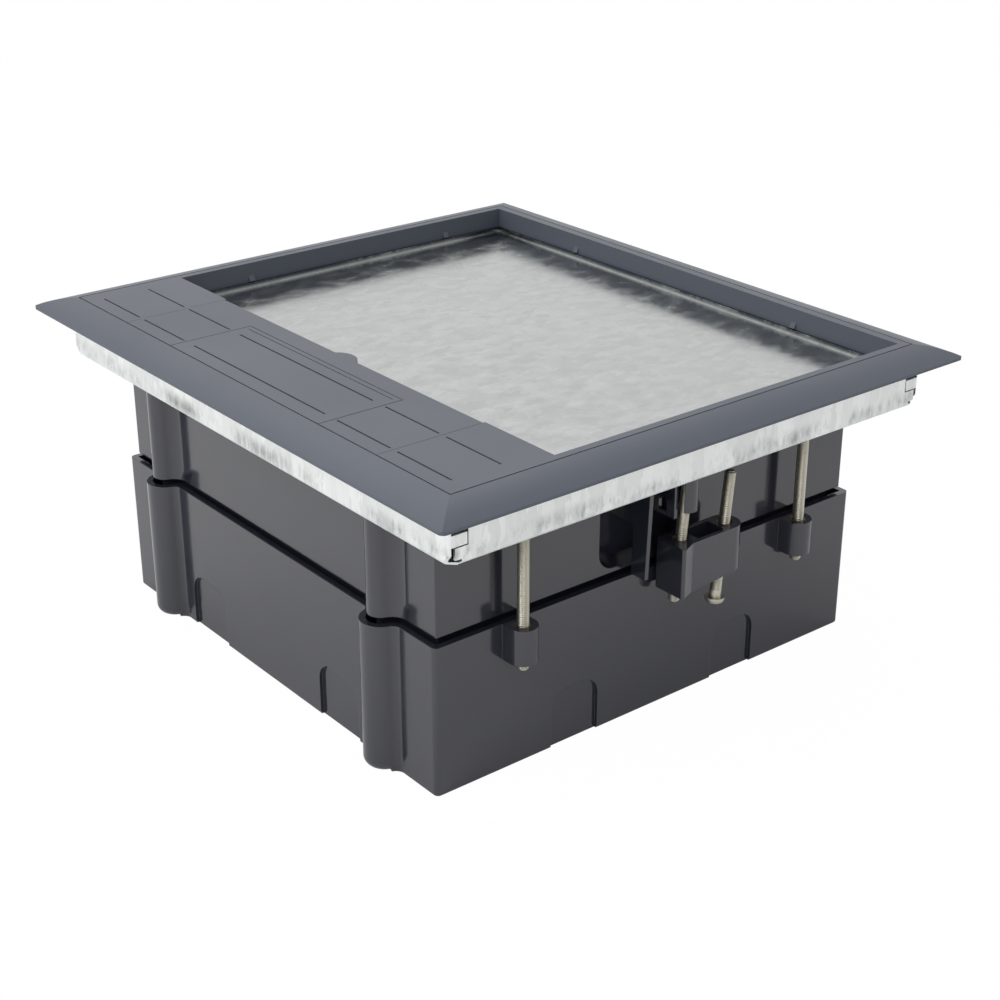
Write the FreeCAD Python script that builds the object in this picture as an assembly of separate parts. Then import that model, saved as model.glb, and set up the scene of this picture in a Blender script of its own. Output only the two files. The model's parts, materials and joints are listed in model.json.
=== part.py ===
import FreeCAD, Part
import math
import os

from FreeCAD import Vector

os.makedirs("parts", exist_ok=True)

# Raised-access-floor socket box, in millimetres.
# Origin: middle of the underside of the lower box.  +Z up, +Y along the long
# side of the bezel, -X the side of the cable covers, +X the side of the lid hinge.

# ---- driving dimensions -------------------------------------------------
bezel_x = 280.0            # bezel over its two long edges
bezel_y = 312.4            # bezel over its two short edges
bezel_ring = 15.4          # width of the visible ring
bezel_edge = 1.1           # thickness at the outer edge
bezel_rise = 5.0           # crown of the ring above its outer edge
bezel_corner = 2.5
bezel_skirt = 1.3          # wall that hangs down inside the steel tray
bezel_skirt_depth = 12.5   # skirt below the floor line
floor_level = 135.0        # underside of the bezel above the base
bezel_rebate = 0.5         # step in the underside that takes the tray's top edge
rebate_gap = 0.15

tray_inset = 12.75         # tray side in from the bezel's outer edge
tray_sheet = 1.2
tray_depth = 21.1          # tray side below the bezel
tray_fold = 2.0            # outside radius of the folded bottom edge
tray_corner = 1.8
tab_out = 1.0              # corner joint, in from the tray's corner
tab_slot = 7.6             # length of the upper slot
tab_slot_h = 1.5
tab_foot = 4.6             # length of the lower slot
tab_foot_h = 1.0
tab_slit = 0.5             # lines round the tab
tab_gap = 1.6              # open slit below the tab
tab_height = 4.8
tab_low = 1.3              # lower slot above the tray's underside
tab_high = 12.4            # upper slot above the tray's underside
relief_out = 3.5           # cut-away bottom corner, along the diagonal
relief_h = 5.8

lower_x = 233.4
lower_y = 238.6
lower_height = 66.7
lower_wall = 2.8
lower_floor = 3.0
lower_corner = 2.4
lower_foot_round = 1.0

pilaster_y = 84.6          # pilaster centres each side of the middle
pilaster_r = 9.0
pilaster_blend = 4.0       # hollow blend between pilaster and wall
pilaster_foot = 4.0        # rounding under each pilaster

telescope_gap = 0.4        # upper box inside the lower box
travel_down = 22.0         # height adjustment below the drawn height
upper_wall = 2.5
upper_bottom = 69.0        # bottom edge of the upper box's outer wall
skirt_inset = 3.8          # sleeve, in from the outer wall
skirt_wall = 1.6
skirt_bottom = 50.0
flange_thick = 2.5         # moulded flange under the steel tray
flange_margin = 6.5        # tray side to moulded flange
flange_screw_x = 48.0
flange_screw_y = 45.0
flange_screw_out = 6.5     # beyond the short walls of the lower box
flange_screw_in = 0.4      # beyond the long walls of the lower box

knockout_short = 25.2      # width of the fields in the short walls
knockout_long = 29.0       # width of the fields in the long walls
knockout_h = 26.4
knockout_round = 9.0
knockout_depth = 1.6
knockout_pitch_x = 45.6    # knock-outs each side of the middle, short walls
knockout_pitch_y = 52.0    # knock-outs each side of the middle, long walls

base_hole_r = 2.6
base_hole_x = 85.0
base_hole_y = 60.0
base_boss_r = 6.5
base_boss_h = 2.5

screw_r = 2.5              # M5 screws
screw_head_r = 4.3
screw_head_h = 2.6
screw_run = 0.07           # screw in its insert, radial
screw_hole_gap = 0.25      # screw in plain holes, radial
insert_wall = 0.65
insert_length = 8.0

adjust_x = 77.6            # adjusting screws each side of the middle
adjust_y = 124.5
adjust_boss_r = 6.2
adjust_boss_h = 15.6
adjust_tip = 4.2           # screw tip below its boss
clip_thick = 0.8
clip_r = 4.3
clip_gap = 0.1

clamp_x = 2.8              # drive screw of the front clamp, at clamp_top
clamp_y = 128.0
clamp_lean = 5.5           # degrees, both screws lean about clamp_top
clamp_depth = 13.8
clamp_top = 81.0
clamp_height = 22.4
clamp_taper = 1.8          # pusher end is this much less high
clamp_left = 7.3           # block beyond the drive screw
clamp_pitch = 25.0         # drive screw to pusher screw
clamp_round = 1.2
cheek_out = 3.3            # drive end stands proud of the front face
cheek_run = 7.8
clamp_drive_tip = 5.6
pusher_top = 104.0
pusher_head_gap = 11.5     # head below the block
pusher_hole_r = 3.5        # driver access over the pusher screw
spot_gap = 0.15            # round the sunk head of the drive screw

guide_plate_x = -13.95     # guide plate of the clamp bracket, at the flange
guide_plate_t = 2.0
guide_plate_y = 128.0
guide_plate_bottom = 67.6
guide_plate_lean = 1.7     # bottom of the plate, further out
side_plate_x = -0.6
side_plate_t = 1.8
side_plate_bottom = 90.6
window_y = 121.0
window_z = 95.5
window_w = 4.6
window_h = 5.6
tube_r = 4.4
tube_shift = 2.8           # tube centre beyond the drive screw at clamp_top
tube_slot = 2.2            # half width of the slot in the tube
tube_bottom = 93.2
pocket_left = -31.0
pocket_right = 15.0
pocket_bottom = 71.0
pocket_depth = 9.0
pocket_corner = 8.0

lid_gap = 0.6
lid_thick = 15.9
strip_width = 50.9         # plain strip on the cover side
rim_x = 4.2                # rim over the hinge
rim_y = 3.6                # rims of the short sides
recess_depth = 11.7        # room for the floor covering
insert_sheet = 1.5
insert_lip = 2.2
insert_gap = 0.25

hinge_from_edge = 12.0     # lid hinge axis in from the lid's edge
hinge_below_top = 2.5
hinge_pin_r = 1.5
hinge_pin_in = 3.0
hinge_pin_out = 3.7
hinge_run = 0.05

cover_thick = 3.0
cover_half_y = 95.5
cover_bridge = 10.8        # part of the cover between handle and recess
cover_seam = 0.4
cover_seat_gap = 0.2
cover_pin_r = 0.8
cover_pin_length = 5.0
lip_r = 9.3
lip_reach = 4.6
lip_thick = 2.0

handle_half_y = 56.6
handle_knuckle = 3.1
handle_pin_r = 0.8
handle_post = 2.6
handle_line = 2.6          # score line in from the handle's inner edge
handle_sweep_gap = 0.15

outlet_from_handle = 5.4
outlet_from_end = 3.5
outlet_margin = 4.0

ledge_width = 4.5
ledge_thick = 2.0
ledge_end_x = 92.0
gasket_thick = 1.0
gasket_gap = 0.2

carrier_w = 70.0
carrier_l = 206.0
carrier_t = 2.5
carrier_top = 80.5
carrier_gap = 4.4
carrier_first_x = -12.0
carrier_lip = 4.6          # screw centre in from the carrier end
module_size = 45.0
module_pitch = 48.0
module_front = 3.5
module_body = 40.0
module_depth = 26.0
module_gap = 0.2
outlet_recess_r = 19.5
outlet_recess = 13.5
outlet_pin_pitch = 19.0
outlet_pin_r = 2.5
jack_w = 14.6
jack_h = 12.0
jack_depth = 14.0
jack_pitch = 20.0

lug_w = 12.0
lug_screw_r = 1.75
lug_screw_head_r = 3.2
lug_screw_head_h = 2.0
lug_screw_length = 7.0

divider_t = 1.2
divider_h = 24.0
divider_foot = 8.0
divider_short = 12.0       # divider shorter than the carriers at each end

terminal_w = 9.0
terminal_l = 30.0
terminal_h = 8.0
terminal_x = 22.0
terminal_wire_r = 2.2
terminal_pitch = 14.0
terminal_screw_r = 1.6

groove_w = 0.9             # score lines on the cover side
groove_deep = 0.6
groove_inner = 20.6        # from the edge of the recess
groove_outer = 43.3
groove_handle_end = 6.6    # score lines end before the handle's ends
groove_arm_in = 1.9
groove_arm_out = 2.0
groove_end = (98.0, 131.0)

snap_w = 3.0               # snap ribs that hold the steel insert down
snap_out = 1.1
snap_h = 3.8
snap_x = (-34.8, 83.7)
snap_y = (-76.7, 73.3)

# ---- derived levels and faces -------------------------------------------
bx = bezel_x / 2
by = bezel_y / 2
top = floor_level + bezel_edge + bezel_rise
open_x = bx - bezel_ring
open_y = by - bezel_ring
tray_x = bx - tray_inset
tray_y = by - tray_inset
tray_bottom = floor_level - tray_depth
tray_top = floor_level + bezel_rebate
flange_top = tray_bottom
flange_bottom = flange_top - flange_thick
tray_floor_top = tray_bottom + tray_sheet

lx = lower_x / 2
ly = lower_y / 2
upper_in = lower_wall + telescope_gap
sleeve_in = upper_in + skirt_inset

lid_x = open_x - lid_gap
lid_y = open_y - lid_gap
lid_bottom = top - lid_thick
recess_x0 = strip_width - lid_x
recess_x1 = lid_x - rim_x
recess_y = lid_y - rim_y
recess_floor = top - recess_depth
sheet_bottom = recess_floor - insert_sheet
hinge_x = lid_x - hinge_from_edge
hinge_z = top - hinge_below_top
cover_z0 = top - cover_thick
cover_axis_x = recess_x0 - cover_thick / 2
cover_axis_z = top - cover_thick / 2
handle_edge_x = recess_x0 - cover_bridge
handle_axis_x = handle_edge_x - cover_seam - handle_knuckle
handle_axis_z = top - handle_knuckle
handle_sweep = handle_knuckle * math.sqrt(2) + handle_sweep_gap
outlet_y0 = handle_half_y + outlet_from_handle
outlet_y1 = cover_half_y - outlet_from_end
groove_handle = handle_half_y - groove_handle_end
groove_arm = (handle_half_y + groove_arm_in, cover_half_y - groove_arm_out)
clamp_end_x = clamp_x + clamp_pitch
insert_r = screw_r + screw_run + insert_wall
bridge_bottom = lower_height + travel_down + 1.0
carrier_second_x = carrier_first_x + carrier_w + carrier_gap
Z = Vector(0, 0, 1)


# ---- helpers ------------------------------------------------------------
def box(x0, x1, y0, y1, z0, z1):
    """Block between three pairs of faces."""
    return Part.makeBox(x1 - x0, y1 - y0, z1 - z0, Vector(x0, y0, z0))


def rod(x, y, z0, z1, r):
    """Upright cylinder."""
    return Part.makeCylinder(r, z1 - z0, Vector(x, y, z0), Z)


def rod_y(x, z, y0, y1, r):
    """Cylinder that lies along Y."""
    return Part.makeCylinder(r, y1 - y0, Vector(x, y0, z), Vector(0, 1, 0))


def prism(points, height):
    """Upright prism on a closed outline of straight edges."""
    wire = Part.makePolygon(points + [points[0]])
    return Part.Face(wire).extrude(Vector(0, 0, height))


def bar_y(points, y0, y1):
    """Bar along Y on a closed outline of (x, z) points."""
    corners = [Vector(x, y0, z) for x, z in points + [points[0]]]
    return Part.Face(Part.makePolygon(corners)).extrude(Vector(0, y1 - y0, 0))


def rounded_block(hx, hy, r, z0, z1):
    """Block centred on the origin with rounded upright edges."""
    body = box(-hx, hx, -hy, hy, z0, z1)
    upright = [e for e in body.Edges if abs(e.tangentAt(e.FirstParameter).z) > 0.9]
    return body.makeFillet(r, upright)


def turned(shape):
    """The same shape on the opposite side of the box."""
    copy = shape.copy()
    copy.rotate(Vector(0, 0, 0), Z, 180)
    return copy


def fused(shapes):
    """One solid from touching shapes."""
    body = shapes[0].multiFuse(shapes[1:]) if len(shapes) > 1 else shapes[0]
    return body.removeSplitter()


def save(name, shape):
    """Write one sub-part."""
    shape.exportStep("parts/" + name + ".step")
    print(name, len(shape.Solids), round(shape.Volume / 1000, 2), "cm3", shape.isValid())


def wall_outline(inset, z):
    """Plan outline of the telescoping boxes, moved inwards by inset.

    Each long side has two half-round pilasters.  Their centres lie on the
    face of the lower box, and a hollow arc leads from wall to pilaster, so
    every inset gives an outline at one distance from the next.
    """
    hx = lx - inset
    hy = ly - inset
    r = max(lower_corner - inset, 0.6)
    out_r = pilaster_r - inset
    span = math.sqrt(pilaster_r ** 2 + 2 * pilaster_r * pilaster_blend)
    reach = pilaster_r + pilaster_blend
    meet_x = lx + out_r * pilaster_blend / reach
    meet_y = out_r * span / reach
    blend_r = pilaster_blend + inset
    hollow_x = lx + pilaster_blend - blend_r * math.cos(math.atan2(span, pilaster_blend) / 2)
    hollow_y = span - blend_r * math.sin(math.atan2(span, pilaster_blend) / 2)
    k = r * (1 - math.sqrt(0.5))
    side = []
    for cy in (-pilaster_y, pilaster_y):
        side += [
            ("line", (hx, cy - span)),
            ("arc", (hollow_x, cy - hollow_y), (meet_x, cy - meet_y)),
            ("arc", (lx + out_r, cy), (meet_x, cy + meet_y)),
            ("arc", (hollow_x, cy + hollow_y), (hx, cy + span)),
        ]
    right = side + [("line", (hx, hy - r)), ("arc", (hx - k, hy - k), (hx - r, hy))]
    right += [("line", (r - hx, hy)), ("arc", (k - hx, hy - k), (-hx, hy - r))]
    steps = right + [(s[0],) + tuple((-p[0], -p[1]) for p in s[1:]) for s in right]
    here = Vector(hx, r - hy, z)
    edges = []
    for step in steps:
        there = Vector(step[-1][0], step[-1][1], z)
        if step[0] == "line":
            edges.append(Part.makeLine(here, there))
        else:
            mid = Vector(step[1][0], step[1][1], z)
            edges.append(Part.Arc(here, mid, there).toShape())
        here = there
    return Part.Face(Part.Wire(edges))


def wall_block(inset, z0, z1):
    """Solid of the telescoping outline between two levels."""
    return wall_outline(inset, z0).extrude(Vector(0, 0, z1 - z0))


# ---- lower box ----------------------------------------------------------
def knockout(x, y, width, angle):
    """Field with round upper corners that is sunk into the wall, open at the bottom edge."""
    cut = box(-width / 2, width / 2, -knockout_depth, 5, -1, knockout_h)
    upper = [e for e in cut.Edges if e.BoundBox.ZMin > knockout_h - 0.01 and e.BoundBox.YLength > 1]
    cut = cut.makeFillet(knockout_round, upper)
    cut.rotate(Vector(0, 0, 0), Z, angle)
    cut.translate(Vector(x, y, 0))
    return cut


def pilaster_rounding(y):
    """Material outside the rounded foot of the pilaster on the +x side."""
    r0 = pilaster_r - pilaster_foot
    out = pilaster_r + 0.5
    k = pilaster_foot * math.sqrt(0.5)
    p = [Vector(r0, 0, 0), Vector(r0, 0, -1), Vector(out, 0, -1), Vector(out, 0, pilaster_foot),
         Vector(pilaster_r, 0, pilaster_foot)]
    edges = [Part.makeLine(a, b) for a, b in zip(p, p[1:])]
    edges.append(Part.Arc(p[-1], Vector(r0 + k, 0, pilaster_foot - k), p[0]).toShape())
    free = math.degrees(math.acos(pilaster_blend / (pilaster_r + pilaster_blend)))
    section = Part.Face(Part.Wire(edges))
    section.rotate(Vector(0, 0, 0), Z, -free)
    cut = section.revolve(Vector(0, 0, 0), Z, 2 * free)
    cut.translate(Vector(lx, y, 0))
    return cut


def adjust_boss(x):
    """Boss on the long-screw side: round in front, straight back to the wall."""
    y = -adjust_y
    z0 = lower_height - adjust_boss_h
    back = box(x - adjust_boss_r, x + adjust_boss_r, y, -ly + lower_wall / 2, z0, lower_height)
    return back.fuse(rod(x, y, z0, lower_height, adjust_boss_r))


def make_lower_box():
    body = wall_block(0, 0, lower_height)
    foot = [e for e in body.Edges if e.BoundBox.ZMax < 0.01]
    body = body.makeFillet(lower_foot_round, foot)
    cuts = []
    for s in (-1, 1):
        cuts.append(knockout(s * knockout_pitch_x, ly, knockout_short, 0))
        cuts.append(knockout(s * knockout_pitch_x, -ly, knockout_short, 180))
        cuts.append(knockout(lx, s * knockout_pitch_y, knockout_long, -90))
        cuts.append(knockout(-lx, s * knockout_pitch_y, knockout_long, 90))
        foot_cut = pilaster_rounding(s * pilaster_y)
        cuts += [foot_cut, turned(foot_cut)]
    body = body.cut(wall_block(lower_wall, lower_floor, lower_height + 1))
    body = body.cut(cuts)
    adds = []
    holes = []
    for sx in (-1, 1):
        boss = adjust_boss(sx * adjust_x)
        hole = rod(sx * adjust_x, -adjust_y, 0, lower_height, screw_r + screw_hole_gap)
        seat = rod(sx * adjust_x, -adjust_y, lower_height - insert_length, lower_height + 1, insert_r)
        adds += [boss, turned(boss)]
        holes += [hole, turned(hole), seat, turned(seat)]
        for sy in (-1, 1):
            x = sx * base_hole_x
            y = sy * base_hole_y
            adds.append(rod(x, y, lower_floor / 2, lower_floor + base_boss_h, base_boss_r))
            holes.append(rod(x, y, -1, lower_floor + base_boss_h + 1, base_hole_r))
    body = body.multiFuse(adds).removeSplitter()
    return body.cut(holes)


def ring(x, y, z0, z1, outer, inner):
    """Plain bush."""
    return rod(x, y, z0, z1, outer).cut(rod(x, y, z0 - 1, z1 + 1, inner))


def make_boss_inserts():
    z0 = lower_height - insert_length
    rings = [ring(s * adjust_x, -adjust_y, z0, lower_height, insert_r, screw_r + screw_run) for s in (-1, 1)]
    return Part.Compound(rings + [turned(r) for r in rings])


# ---- bezel and steel tray -----------------------------------------------
def make_bezel():
    """Mitred ring: the crowned section runs along each side and meets at 45 degrees."""
    sides = []
    drop = floor_level - bezel_skirt_depth
    edge_z = floor_level + bezel_edge
    for half, across in ((by, bx), (bx, by)):
        outer = -across
        inner = bezel_ring - across
        p = [
            Vector(outer, -half, floor_level),
            Vector(outer, -half, edge_z),
            Vector(outer + bezel_ring * 0.45, -half, edge_z + bezel_rise * 0.64),
            Vector(inner, -half, top),
            Vector(inner, -half, drop),
            Vector(inner - bezel_skirt, -half, drop),
            Vector(inner - bezel_skirt, -half, tray_top),
            Vector(outer + tray_inset - rebate_gap, -half, tray_top),
            Vector(outer + tray_inset - rebate_gap, -half, floor_level),
        ]
        edges = [Part.makeLine(p[0], p[1]), Part.Arc(p[1], p[2], p[3]).toShape()]
        edges += [Part.makeLine(a, b) for a, b in zip(p[3:], p[4:] + p[:1])]
        bar = Part.Face(Part.Wire(edges)).extrude(Vector(0, 2 * half, 0))
        reach = bezel_ring + bezel_skirt
        wedge = prism([
            Vector(outer - 1, -half - 1, drop - 1),
            Vector(outer + reach, -half + reach, drop - 1),
            Vector(outer + reach, half - reach, drop - 1),
            Vector(outer - 1, half + 1, drop - 1),
        ], top - drop + 2)
        bar = bar.common(wedge)
        if half == bx:
            bar.rotate(Vector(0, 0, 0), Z, 90)
        sides += [bar, turned(bar)]
    ring_body = fused(sides)
    ring_body = ring_body.common(rounded_block(bx, by, bezel_corner, drop - 1, top + 1))
    ledge_top = lid_bottom - gasket_gap - gasket_thick
    ledge = box(-open_x - 0.3, ledge_end_x, -open_y - 0.3, open_y + 0.3, ledge_top - ledge_thick, ledge_top)
    hollow = box(ledge_width - open_x, bx, ledge_width - open_y, open_y - ledge_width, 0, top)
    ring_body = ring_body.fuse(ledge.cut(hollow)).removeSplitter()
    for s in (-1, 1):
        y0 = min(s * (open_y - 1), s * (open_y + hinge_pin_out))
        pin = rod_y(hinge_x, hinge_z, y0, y0 + hinge_pin_out + 1, hinge_pin_r)
        ring_body = ring_body.cut(pin)
    return ring_body


def make_gasket():
    z0 = lid_bottom - gasket_gap - gasket_thick
    strip = box(0.2 - open_x, ledge_end_x, 0.2 - open_y, open_y - 0.2, z0, z0 + gasket_thick)
    return strip.cut(box(ledge_width - open_x, bx, ledge_width - open_y, open_y - ledge_width, 0, top))


def flange_screw_places():
    """Screws that hold the moulded box to the tray's flange."""
    ends = [(i * flange_screw_x, s * (ly + flange_screw_out)) for i in (-1, 1) for s in (-1, 1)]
    sides = [(s * (lx + flange_screw_in), i * flange_screw_y) for i in (-1, 1) for s in (-1, 1)]
    return ends + sides


def corner_relief():
    """Slanting cut over the lowest corner of the tray, for the corner at +x +y."""
    reach = math.hypot(tray_x, tray_y)
    slope = relief_h / relief_out
    low = tray_bottom - 1
    upper = tray_bottom + relief_h + slope
    cut = bar_y([(-relief_out - 1 / slope, low), (1, upper), (1, low)], -reach, reach)
    cut.rotate(Vector(0, 0, 0), Z, 45)
    cut.translate(Vector(tray_x, tray_y, 0))
    return cut


def tab_joint(side):
    """Slots and lines round the tab at one end of the front side."""
    def opening(start, end, low, high):
        a, b = sorted((side * (tray_x - start), side * (tray_x - end)))
        return box(a, b, -tray_y - 1, tray_sheet + 1 - tray_y, tray_bottom + low, tray_bottom + high)

    inner = tab_out + tab_slot
    tab_end = tab_high - tab_height
    return [
        opening(tab_out, inner, tab_high, tab_high + tab_slot_h),
        opening(tab_out, tab_out + tab_foot, tab_low, tab_low + tab_foot_h),
        opening(tab_out, tab_out + tab_gap, tab_low, tab_end),
        opening(inner - tab_slit, inner, tab_end, tab_high),
        opening(tab_out, inner, tab_end - tab_slit, tab_end),
    ]


def make_tray():
    """Folded sheet: four sides, an inward flange and tab joints at the corners."""
    body = rounded_block(tray_x, tray_y, tray_corner, tray_bottom, tray_top)
    bottom = [e for e in body.Edges if e.BoundBox.ZMax < tray_bottom + 0.01]
    body = body.makeFillet(tray_fold - 0.5, bottom)
    inner = box(tray_sheet - tray_x, tray_x - tray_sheet, tray_sheet - tray_y, tray_y - tray_sheet,
                tray_floor_top, tray_top + 1)
    body = body.cut(inner)
    body = body.cut(wall_block(upper_in + upper_wall, 0, tray_top))
    hole_r = screw_r + screw_hole_gap
    relief = corner_relief()
    holes = [relief, relief.mirror(Vector(0, 0, 0), Vector(0, 1, 0))]
    for sx in (-1, 1):
        holes.append(rod(sx * adjust_x, -adjust_y, 0, floor_level, hole_r))
        holes += tab_joint(sx)
    spot = rod(clamp_x, -clamp_y, tray_floor_top, floor_level, screw_head_r + spot_gap)
    holes.append(leaned(rod(clamp_x, -clamp_y, clamp_top, floor_level, hole_r), clamp_x))
    holes.append(leaned(spot, clamp_x))
    holes.append(leaned(rod(clamp_end_x, -clamp_y, clamp_top, floor_level, pusher_hole_r), clamp_end_x))
    holes += [turned(h) for h in holes]
    for x, y in flange_screw_places():
        holes.append(rod(x, y, 0, floor_level, lug_screw_r + 0.2))
    return body.cut(holes)


def screw_down(x, y, seat, length, r, head_r, head_h):
    """Pan-head screw that stands on seat and points down."""
    head = rod(x, y, seat, seat + head_h, head_r)
    rim = [e for e in head.Edges if e.BoundBox.ZMin > seat + head_h - 0.01]
    head = head.makeFillet(head_h * 0.45, rim)
    return head.fuse(rod(x, y, seat - length, seat, r)).removeSplitter()


def make_flange_screws():
    length = flange_thick + tray_sheet
    screws = [screw_down(x, y, tray_floor_top, length, lug_screw_r, lug_screw_head_r, lug_screw_head_h)
              for x, y in flange_screw_places()]
    return Part.Compound(screws)


# ---- upper box ----------------------------------------------------------
def clamp_bracket():
    """Guide plate and windowed side plate of the front clamp, and its slotted screw tube.

    They hang from the moulded flange.  Below bridge_bottom they stay outside
    the wall of the lower box, which slides up between them and the upper box.
    """
    wall = -ly + upper_in + upper_wall / 2
    outside = -ly - telescope_gap
    zt = flange_bottom + 0.5
    pieces = []
    for x, t, front, low, lean in (
            (guide_plate_x, guide_plate_t, -guide_plate_y, guide_plate_bottom, guide_plate_lean),
            (side_plate_x, side_plate_t, -clamp_y, side_plate_bottom, 0.0)):
        across = [(x - t / 2, zt), (x + t / 2, zt), (x + t / 2 - lean, low), (x - t / 2 - lean, low)]
        blade = bar_y(across, front, outside)
        web = bar_y(across, front, wall + pocket_depth)
        web = web.common(box(x - 9, x + 9, front, wall + pocket_depth, max(bridge_bottom, low), zt))
        pieces.append(blade.fuse(web))
    window = box(side_plate_x - 5, side_plate_x + 5, -window_y - window_w / 2, -window_y + window_w / 2,
                 window_z - window_h / 2, window_z + window_h / 2)
    pieces[1] = pieces[1].cut(window)
    tube = rod(clamp_x + tube_shift, -clamp_y, tube_bottom, zt, tube_r)
    slot = box(clamp_x - 9, clamp_x, -clamp_y - tube_slot, -clamp_y + tube_slot, clamp_top, flange_bottom)
    return pieces + [tube.cut(leaned(slot, clamp_x))]


def clamp_pocket():
    """Room for the clamp in the short wall, with one rounded bottom corner."""
    y0 = -ly + upper_in - 1
    y1 = -ly + upper_in + pocket_depth
    room = box(pocket_left, pocket_right, y0, y1, pocket_bottom, flange_bottom)
    low = [e for e in room.Edges
           if e.BoundBox.ZMax < pocket_bottom + 0.01 and e.BoundBox.XMax < pocket_left + 0.01]
    return room.makeFillet(pocket_corner, low)


def lug_places():
    """Screws of the device carriers: carrier centres and both ends."""
    xs = [c + s * carrier_w * 0.36 for c in (carrier_first_x, carrier_second_x) for s in (-1, 1)]
    return [(x, s * (carrier_l / 2 - carrier_lip)) for x in xs for s in (-1, 1)]


def make_upper_box():
    body = wall_block(upper_in, upper_bottom, flange_top)
    sleeve = wall_block(sleeve_in, skirt_bottom, upper_bottom + 1)
    flange = box(-tray_x + flange_margin, tray_x - flange_margin, -tray_y + flange_margin,
                 tray_y - flange_margin, flange_bottom, flange_top)
    body = body.multiFuse([sleeve, flange])
    pocket = clamp_pocket()
    pocket_wall = 2.0
    liner = box(pocket_left - pocket_wall, pocket_right + pocket_wall, -ly + upper_in + 0.5,
                -ly + upper_in + pocket_depth + pocket_wall, upper_bottom, flange_top)
    step = upper_bottom + 3.0
    hollow = wall_block(upper_in + upper_wall, step, flange_top + 1)
    hollow = hollow.fuse(wall_block(sleeve_in + skirt_wall, skirt_bottom - 1, step + 1))
    hollow = hollow.cut([liner, turned(liner)])
    body = body.cut(hollow)
    lugs = []
    for x, y in lug_places():
        a, b = sorted((y - math.copysign(carrier_lip, y), math.copysign(ly - upper_in - upper_wall / 2, y)))
        lugs.append(box(x - lug_w / 2, x + lug_w / 2, a, b, step, carrier_top - carrier_t))
    body = body.multiFuse(lugs).cut([pocket, turned(pocket)])
    bracket = clamp_bracket()
    body = body.multiFuse(bracket + [turned(piece) for piece in bracket]).removeSplitter()
    holes = []
    hole_r = screw_r + screw_hole_gap
    for sx in (-1, 1):
        holes.append(rod(sx * adjust_x, -adjust_y, flange_bottom - 1, flange_top + 1, hole_r))
    holes.append(leaned(rod(clamp_x, -clamp_y, clamp_top + 1, floor_level, hole_r), clamp_x))
    holes.append(leaned(rod(clamp_end_x, -clamp_y, clamp_top, floor_level, pusher_hole_r), clamp_end_x))
    holes += [turned(h) for h in holes]
    for x, y in lug_places():
        holes.append(rod(x, y, carrier_top - lug_screw_length, carrier_top, lug_screw_r))
    for x, y in flange_screw_places():
        holes.append(rod(x, y, flange_bottom - 1, flange_top + 1, lug_screw_r))
    return body.cut(holes)


# ---- adjusting screws ---------------------------------------------------
def adjust_screw(x):
    tip = lower_height - adjust_boss_h - adjust_tip
    return screw_down(x, -adjust_y, tray_floor_top, tray_floor_top - tip, screw_r, screw_head_r, screw_head_h)


def adjust_clip(x):
    z1 = flange_bottom - clip_gap
    return ring(x, -adjust_y, z1 - clip_thick, z1, clip_r, screw_r)


# ---- clamps -------------------------------------------------------------
def leaned(shape, x):
    """Lean a clamp screw, or its hole, about its point at the top of the clamp block."""
    copy = shape.copy()
    copy.rotate(Vector(x, -clamp_y, clamp_top), Vector(0, 1, 0), clamp_lean)
    return copy


def make_clamp_block():
    """Block with a proud drive end, a slanting cheek and a round pusher end."""
    r = clamp_depth / 2
    front = -clamp_y - r
    back = -clamp_y + r
    x0 = clamp_x - clamp_left
    z0 = clamp_top - clamp_height
    body = prism([
        Vector(x0, front - cheek_out, z0),
        Vector(x0 + cheek_run, front, z0),
        Vector(clamp_end_x, front, z0),
        Vector(clamp_end_x, back, z0),
        Vector(x0, back, z0),
    ], clamp_height)
    upright = [e for e in body.Edges if e.BoundBox.XMax < x0 + 0.01 and e.BoundBox.ZMax > e.BoundBox.ZMin + 1]
    body = body.makeFillet(clamp_round, upright)
    body = body.fuse(rod(clamp_end_x, -clamp_y, z0, clamp_top, r)).removeSplitter()
    x_taper = x0 + cheek_run
    slope = clamp_taper / (clamp_end_x - x_taper)
    far = clamp_end_x + r + 1
    under = [(x_taper, z0), (far, z0 + slope * (far - x_taper)), (far, z0 - 1), (x_taper, z0 - 1)]
    body = body.cut(bar_y(under, front - 1, back + 1))
    core_x0 = clamp_x + insert_r + 2.0
    core_x1 = clamp_end_x - insert_r - 2.0
    body = body.cut(box(core_x0, core_x1, front + 2, back - 2, z0 + 7, clamp_top + 1))
    for x in (clamp_x, clamp_end_x):
        body = body.cut(leaned(rod(x, -clamp_y, z0 - 3, clamp_top + 2, screw_r + screw_hole_gap), x))
        body = body.cut(leaned(rod(x, -clamp_y, clamp_top - insert_length, clamp_top + 2, insert_r), x))
    return body


def make_clamp_inserts():
    z0 = clamp_top - insert_length
    rings = [leaned(ring(x, -clamp_y, z0, clamp_top - 0.4, insert_r, screw_r + screw_run), x)
             for x in (clamp_x, clamp_end_x)]
    return Part.Compound(rings)


def make_drive_screw():
    length = tray_floor_top - clamp_top + clamp_height + clamp_drive_tip
    screw = screw_down(clamp_x, -clamp_y, tray_floor_top, length, screw_r, screw_head_r, screw_head_h)
    return leaned(screw, clamp_x)


def make_pusher_screw():
    z0 = clamp_top - clamp_height - pusher_head_gap
    head = rod(clamp_end_x, -clamp_y, z0 - screw_head_h, z0, screw_head_r)
    rim = [e for e in head.Edges if e.BoundBox.ZMax < z0 - screw_head_h + 0.01]
    head = head.makeFillet(screw_head_h * 0.45, rim)
    shank = rod(clamp_end_x, -clamp_y, z0, pusher_top, screw_r)
    return leaned(head.fuse(shank).removeSplitter(), clamp_end_x)


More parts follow.
